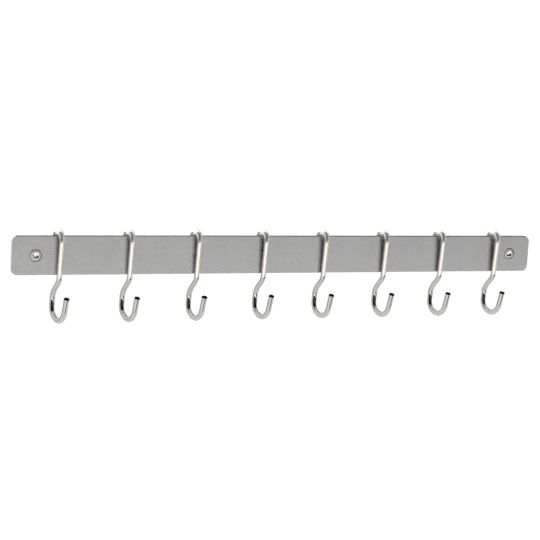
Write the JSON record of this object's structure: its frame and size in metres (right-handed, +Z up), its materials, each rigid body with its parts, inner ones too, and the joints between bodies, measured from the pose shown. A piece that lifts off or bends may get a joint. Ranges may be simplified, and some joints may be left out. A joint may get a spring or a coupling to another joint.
{
  "type": "kitchen utensil rail",
  "caption": "Wall-mounted flat steel bar on stand-offs with polished wire hooks hung over its upper edge, for hanging kitchen utensils; the hooks slide along the bar.",
  "frame": {"origin": "on the wall plane, halfway between the two wall screws", "axes": "+X along the bar to the right, +Y into the wall, +Z up; the front faces -Y"},
  "size_m": [0.6, 0.0742, 0.0959],
  "materials": {
    "rail": "satin",
    "spacer": "turned",
    "screw": "bright",
    "hook": "polished"
  },
  "bodies": {
    "wall_bar": {"rail": "rail", "spacer_left": "spacer", "spacer_right": "spacer", "screw_left": "screw", "screw_right": "screw"},
    "hook_1": {"hook_1": "hook"},
    "hook_2": {"hook_2": "hook"},
    "hook_3": {"hook_3": "hook"},
    "hook_4": {"hook_4": "hook"},
    "hook_5": {"hook_5": "hook"},
    "hook_6": {"hook_6": "hook"},
    "hook_7": {"hook_7": "hook"},
    "hook_8": {"hook_8": "hook"}
  },
  "joints": [
    {"name": "hook_1_slide", "type": "slide", "parent": "wall_bar", "child": "hook_1", "axis": [1, 0, 0], "range_m": [-0.01, 0.03]},
    {"name": "hook_2_slide", "type": "slide", "parent": "wall_bar", "child": "hook_2", "axis": [1, 0, 0], "range_m": [-0.03, 0.03]},
    {"name": "hook_3_slide", "type": "slide", "parent": "wall_bar", "child": "hook_3", "axis": [1, 0, 0], "range_m": [-0.03, 0.03]},
    {"name": "hook_4_slide", "type": "slide", "parent": "wall_bar", "child": "hook_4", "axis": [1, 0, 0], "range_m": [-0.03, 0.03]},
    {"name": "hook_5_slide", "type": "slide", "parent": "wall_bar", "child": "hook_5", "axis": [1, 0, 0], "range_m": [-0.03, 0.03]},
    {"name": "hook_6_slide", "type": "slide", "parent": "wall_bar", "child": "hook_6", "axis": [1, 0, 0], "range_m": [-0.03, 0.03]},
    {"name": "hook_7_slide", "type": "slide", "parent": "wall_bar", "child": "hook_7", "axis": [1, 0, 0], "range_m": [-0.03, 0.03]},
    {"name": "hook_8_slide", "type": "slide", "parent": "wall_bar", "child": "hook_8", "axis": [1, 0, 0], "range_m": [-0.03, 0.01]}
  ]
}
